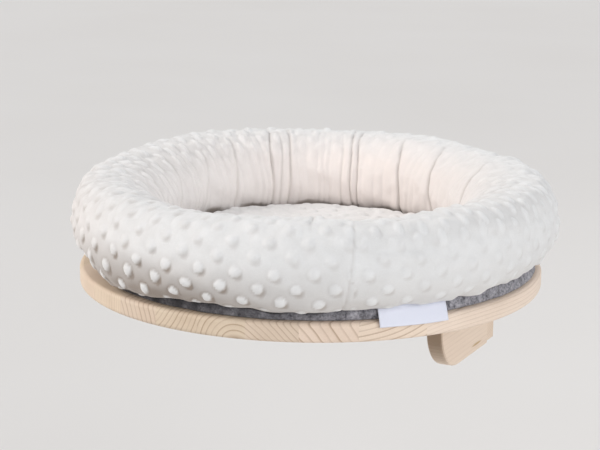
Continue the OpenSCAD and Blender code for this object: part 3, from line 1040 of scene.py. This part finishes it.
# %% Seam, and the push outwards
RIDGE_HEIGHT, GATHER_HEIGHT, UNEVEN_HEIGHT = 2.3 * MM, 1.8 * MM, 0.35 * MM
SEAM_DEPTH, SEAM_HALF, SEAM_SLANT = 1.0 * MM, 1.0 * MM, 32 * MM
seam_gap = (along + whole_turn / 2) % whole_turn - whole_turn / 2
seam_gap = (seam_gap + SEAM_SLANT * (0.32 - share)) * local_r / OUTER_R
seam = np.exp(-(seam_gap / SEAM_HALF) ** 2) * between(share, 0.02, 0.05, 0.95, 1.0)
uneven = waves(across * 60 + angle * 3, 8, 1, 6) * between(share, 0.018, 0.05, 0.96, 0.995)
push = (DOT_HEIGHT * dots + crease_push + RIDGE_HEIGHT * ridges + GATHER_HEIGHT * fine
        + UNEVEN_HEIGHT * uneven - SEAM_DEPTH * seam)
places += normals * push[:, None]
# Behind, the ring is flat and ends just before the plane where the shelf ends
places[:, 1] = np.minimum(places[:, 1], -bed_middle.y - 0.3 * MM)
write_places(ring.data, places)
print("ring pushed from", round(push.min() / MM, 2), "to", round(push.max() / MM, 2), "mm")

# %% [markdown]
# All of this is painted shade. Shade gathers wherever the pile stands close: in the creases and the seam,
# between the ridges and the gathers, beneath each dot, and low on the ring, most of all in front on the
# left. Lamps alone would have to be very hard to show it. So a number for each point says how far the plush
# is painted towards its dark tan.

# %% Shade in the pile
between_dots = np.clip(0.4 - dots, 0, 1) / 0.4
# Painted shadow beneath each dot, to its lower right
under_dots = tufts(along - 2.6 * MM, across + 3.4 * MM) - np.maximum(full_dots, 0)
under_dots = np.clip(under_dots, 0, 1) * dot_field
darker = near(angle, -111, 25)
low_side = falls(share, 0.10, 0.26) * (1 - 0.6 * near(angle, -14, 42))
low_shade = low_side * ((0.29 + 0.68 * darker + 0.14 * near(angle, -84, 22)) * between_dots
                        + (0.26 + 0.6 * darker) * under_dots)
low_shade += falls(share, 0.03, 0.13) * (0.08 + 0.25 * darker)
dot_shade = (0.15 + 0.32 * near(angle, -122, 34) + 0.1 * near(angle, -10, 40)) * under_dots
# Painted shade: grooves, seam, gather valleys, the low ring, ridges, under the dots and the inner right wall
crease = 0.34 * groove_shade + 0.16 * seam + 0.14 * np.clip(-fine - 0.25, 0, 1) + low_shade
crease += 0.16 * ridge_shade + dot_shade + 0.07 * near(angle, 48, 26) * rises(share, 0.5, 0.65)
print("shade in the pile is", round(float(crease.mean()), 3), "on average")

# %% [markdown]
# At the foot of the inner wall a thin painted shadow runs round the cushion, never quite even, and the lower
# inner wall gets painted shade too. Inside the ring white plush faces white plush. Light goes to and fro
# between them and turns warm, which the second attribute paints, along with painted warm light low on the
# outer left.

# %% Painted shadow in the gap, and painted warm light
GAP_START, GAP_WAVE, GAP_EDGE = 0.832, 0.006, 0.012
gap_top = GAP_START - GAP_WAVE * waves(angle, 72, 7, 23)
gap_shadow = rises(share, gap_top, gap_top + GAP_EDGE)
gap_shadow *= np.clip(0.45 + 0.3 * waves(angle, 71, 9, 30) + 0.3 * near(angle, 108, 18), 0.1, 0.9)
# Painted shade low on the inner wall, deepest towards the back
foot_shade = rises(share, 0.60, 0.88) * (0.03 + 0.16 * near(angle, 72, 24))
crease = np.clip(crease + foot_shade + gap_shadow, 0, 1)
# Painted warm light inside the ring, and low on the outer left of the ring
warmth = rises(share, 0.46, 0.66) * (0.35 + 0.55 * near(angle, 95, 52))
warmth = np.maximum(warmth, 0.45 * between(share, 0.05, 0.2, 0.3, 0.5) * near(angle, -145, 28))
paint(ring, crease=crease, warmth=warmth)
dress(ring, ring_plush)
print("warmth is", round(float(warmth.mean()), 3), "on average")

# %% [markdown]
# ## The cushion
#
# The cushion inside the ring is thin and loosely filled: a flat foot, a round rim and a low
# crown. It could be a flattened sphere, but a sewn cushion is fullest just inside its rim. So it
# is spun and blown up like the ring, and its dots are laid out from its middle.

# %% Section of the cushion
PAD_R = (pad_high.x - pad_low.x) / 2
PAD_HEIGHT = pad_high.z - pad_low.z
RIM_H, RIM_REACH, RIM_TURNS = 23.5 * MM, 8 * MM, 12
CROWN_TURNS, PAD_ROWS, PAD_STEPS = 24, 76, 260
foot_z = pad_low.z + 0.5 * MM
pad_line = [(0, foot_z)]
for step in range(-RIM_TURNS, RIM_TURNS + 1):
    turn = math.radians(90 * step / RIM_TURNS)
    pad_line.append((PAD_R - 1.8 * MM - RIM_REACH * (1 - math.cos(turn)),
                     foot_z + RIM_H / 2 * (1 + math.sin(turn))))
shoulder_r, shoulder_z = pad_line[-1]
crown = PAD_HEIGHT - RIM_H - 1 * MM
for step in range(1, CROWN_TURNS + 1):
    out = 1 - step / CROWN_TURNS
    pad_line.append((shoulder_r * out, shoulder_z + crown * (1 - out ** 2.4)))
pad_section, pad_far = even_steps(pad_line, PAD_ROWS)
pad_section[0, 0] = pad_section[-1, 0] = 0
print("cushion is", round(2 * PAD_R, 4), "m across and", round(PAD_HEIGHT, 4), "m high")

# %% Blow up the cushion
HELD_ROWS = 28
pad, pad_rows, pad_angle = spin_section("plush_pad", pad_section, PAD_STEPS, closed=False)
# Its cloth is a twenty-fifth wider than the room it has, so it wrinkles a little
pad_rest = read_places(pad.data) * np.array([1.04, 1.04, 1.0])
pad_places = blow_up(pad, pad_rest, list(range(HELD_ROWS)), pad_rows, pressure=0.6, cap=2.5 * MM, frames=16)
write_places(pad.data, pad_places)
lay_out(pad.data, (pad_angle % (2 * math.pi)) * PAD_R, pad_far[pad_rows], 2 * math.pi * PAD_R)

# %% Patterns of the cushion
PAD_DOTS, TUFTING, RIM_GATHERS, RIM_PITCH = 0.85 * DOT_HEIGHT, 0.5 * MM, 0.5 * MM, 11 * MM
places, normals, cloth = refine(pad)
angle = np.arctan2(places[:, 1], places[:, 0])
from_top = pad_far[-1] - cloth[:, 1]
flat_x, flat_y = from_top * np.cos(angle), from_top * np.sin(angle)
on_top = falls(from_top, PAD_R * 1.02, PAD_R * 1.12)
tufting = waves(flat_x * 55, 31, 1, 3) * waves(flat_y * 48, 32, 1, 3)
pad_dots = tufts(flat_x + flat_y * 0.1 + 1, flat_y - flat_x * 0.1 + 1)
edge_pull = np.exp(-((from_top - PAD_R) / (3 * MM)) ** 2)
push = on_top * (PAD_DOTS * pad_dots + TUFTING * tufting)
push += RIM_GATHERS * gathers(angle * PAD_R, from_top, RIM_PITCH, 9) * edge_pull
places += normals * push[:, None]
write_places(pad.data, places)
# Painted shade at the cushion's rim and between its dots, and painted warm light towards its right side
pad_crease = np.clip(edge_pull * 0.15 + 0.08 * np.clip(0.3 - pad_dots, 0, 1), 0, 1)
paint(pad, crease=pad_crease, warmth=0.25 * np.clip(flat_x / PAD_R, 0, 1))
dress(pad, pad_plush)
print("cushion has", len(pad.data.polygons), "faces")

# %% [markdown]
# ## Felt bottom and felt edge
#
# Felt is stiff and thick, so both pieces are spun from a section with rounded corners. A sheet
# without thickness would look like paper at its edge. The felt edge waves with the plush above
# it and bulges out a little between its two seams.


# %% Section with rounded corners
def rounded_box(inner, outer, low, high, corner, steps=4):
    """Section of a box with rounded corners, as (radius, height) points, against the clock."""
    middles = ((inner + corner, low + corner), (outer - corner, low + corner),
               (outer - corner, high - corner), (inner + corner, high - corner))
    points = []
    for start, (r, z) in zip((180, 270, 0, 90), middles):
        for step in range(steps + 1):
            turn = math.radians(start + 90 * step / steps)
            points.append((r + corner * math.cos(turn), z + corner * math.sin(turn)))
    return points


# %% Felt edge
FELT_CORNER = 1.2 * MM
base_low, base_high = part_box("felt_base")
EDGE_FOOT = base_low.z + 0.1 * MM
edge_points = rounded_box(FELT_R - FELT_T, FELT_R, EDGE_FOOT, band_high.z, FELT_CORNER)
felt_edge, _, edge_angle = spin_section("felt_edge", edge_points, 480, closed=True)
places = read_places(felt_edge.data)
height_share = (places[:, 2] - EDGE_FOOT) / (band_high.z - EDGE_FOOT)
radius = np.hypot(places[:, 0], places[:, 1])
belly = np.sin(np.pi * np.clip(height_share, 0, 1))
radius += MM * (0.3 * waves(edge_angle, 51, 12, 40) + belly * (0.6 + 0.45 * waves(edge_angle, 52, 60, 110)))
radius += MM * (6 * near(edge_angle, 8, 24) + 5 * near(edge_angle, 24, 13)) * (1 - 0.7 * height_share)
places[:, 2] += height_share * hem_wave(edge_angle)
places[:, 0], places[:, 1] = radius * np.cos(edge_angle), radius * np.sin(edge_angle)
write_places(felt_edge.data, places)
edge_shade = 0.75 * near(edge_angle, -112, 46) + 0.25 * np.clip(height_share * 2 - 1, 0, 1)
edge_shade += 0.12 * waves(edge_angle, 53, 40, 90)
paint(felt_edge, shade=np.clip(edge_shade, 0, 1))
print("felt edge has", len(felt_edge.data.polygons), "faces")

# %% Felt bottom
BASE_R = FELT_R - FELT_T - 0.6 * MM
base_points = rounded_box(0.02, BASE_R, base_low.z, base_high.z, FELT_CORNER)
base_line = [(0, base_low.z)] + [p for p in base_points if p[0] > FELT_R / 2] + [(0, base_high.z)]
felt_bottom, _, _ = spin_section("felt_bottom", base_line, 360, closed=False)
for piece in (felt_edge, felt_bottom):
    dress(piece, grey_felt)
    smooth_shade(piece.data)
print("felt bottom is", round(2 * BASE_R, 4), "m across")

# %% [markdown]
# ## The label
#
# A folded satin tape, sewn in above the felt edge, stiff enough to stand out over the board's
# rim. Simulated cloth would hang limp, so a fine grid is bent along the path that the tape takes,
# with a faint curl, and then gets its thickness.

# %% Path of the label
label_low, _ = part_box("label")
LABEL_TURN = math.radians(-39)
LABEL_W, LABEL_H, LABEL_ACROSS, LABEL_DOWN = 67 * MM, 21 * MM, 48, 14
LABEL_THICK, LABEL_CURL = 0.6 * MM, 0.5 * MM
label_top = band_high.z + 1.5 * MM + float(hem_wave(np.array([LABEL_TURN]))[0])
start_r = FELT_R + 0.9 * MM
# The bed lies off the board's middle, so the rim is measured from the middle of the bed
bed_shift = bed_middle - board_middle
rim_r_here = (board_far.x - board_low.x) / 2 - (
    bed_shift.x * math.cos(LABEL_TURN) + bed_shift.y * math.sin(LABEL_TURN))
path, path_far = even_steps([(start_r, label_top), (start_r + 3.4 * MM, label_top - 4 * MM),
                             (rim_r_here + 1.2 * MM, board_top + 1.2 * MM),
                             (rim_r_here + 4.2 * MM, label_low.z + 0.2 * MM)], LABEL_DOWN + 1)
print("label hangs", round(path_far[-1] / MM, 1), "mm down")

# %% Label
bm = bmesh.new()
bmesh.ops.create_grid(bm, x_segments=LABEL_ACROSS, y_segments=LABEL_DOWN, size=0.5)
for point in bm.verts:
    sideways = point.co.x * LABEL_W
    down = (0.5 - point.co.y) * LABEL_DOWN
    whole = min(int(down), LABEL_DOWN - 1)
    r, z = path[whole] + (path[whole + 1] - path[whole]) * (down - whole)
    curl = LABEL_CURL * math.sin(sideways * 70) * down / LABEL_DOWN
    turn = LABEL_TURN + sideways / r - 0.01 * down / LABEL_DOWN
    point.co = ((r + curl) * math.cos(turn), (r + curl) * math.sin(turn), z)
bmesh.ops.recalc_face_normals(bm, faces=bm.faces)
label_mesh = bpy.data.meshes.new("side_label")
bm.to_mesh(label_mesh)
bm.free()
side_label = bpy.data.objects.new("side_label", label_mesh)
bpy.context.scene.collection.objects.link(side_label)
thicken = side_label.modifiers.new("Thickness", "SOLIDIFY")
thicken.thickness = LABEL_THICK
thicken.offset = 0
dress(side_label, label_cloth)
smooth_shade(label_mesh)
print("label has", len(label_mesh.polygons), "faces")

# %% [markdown]
# ## What moves with what
#
# The bed lifts off the shelf and the cushion lifts out of the bed, so each soft piece rides on its own body
# and stands for its solids, which are hidden.

# %% Bodies of the soft pieces
for piece, body, slot, nodes in (
        (ring, "bed", "white_plush", ("ring_cover", "ring_filling")),
        (felt_edge, "bed", "grey_felt", ("felt_band",)),
        (felt_bottom, "bed", "grey_felt", ("felt_base",)),
        (side_label, "bed", "woven_label", ("label",)),
        (pad, "floor_pad", "white_plush", ("pad_cover", "pad_filling"))):
    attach(piece, body)
    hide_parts(*nodes)
print("soft pieces:", ring.name, pad.name, felt_bottom.name, side_label.name, felt_edge.name)

# %% [markdown]
# ## Sizes
#
# Fabric may stand a little proud of the imported solids. The box of the imported solids is printed, so that
# anyone can compare it with the scene.

# %% Sizes and finish
print("CAD box   ", [[round(v, 4) for v in corner] for corner in cad_box])
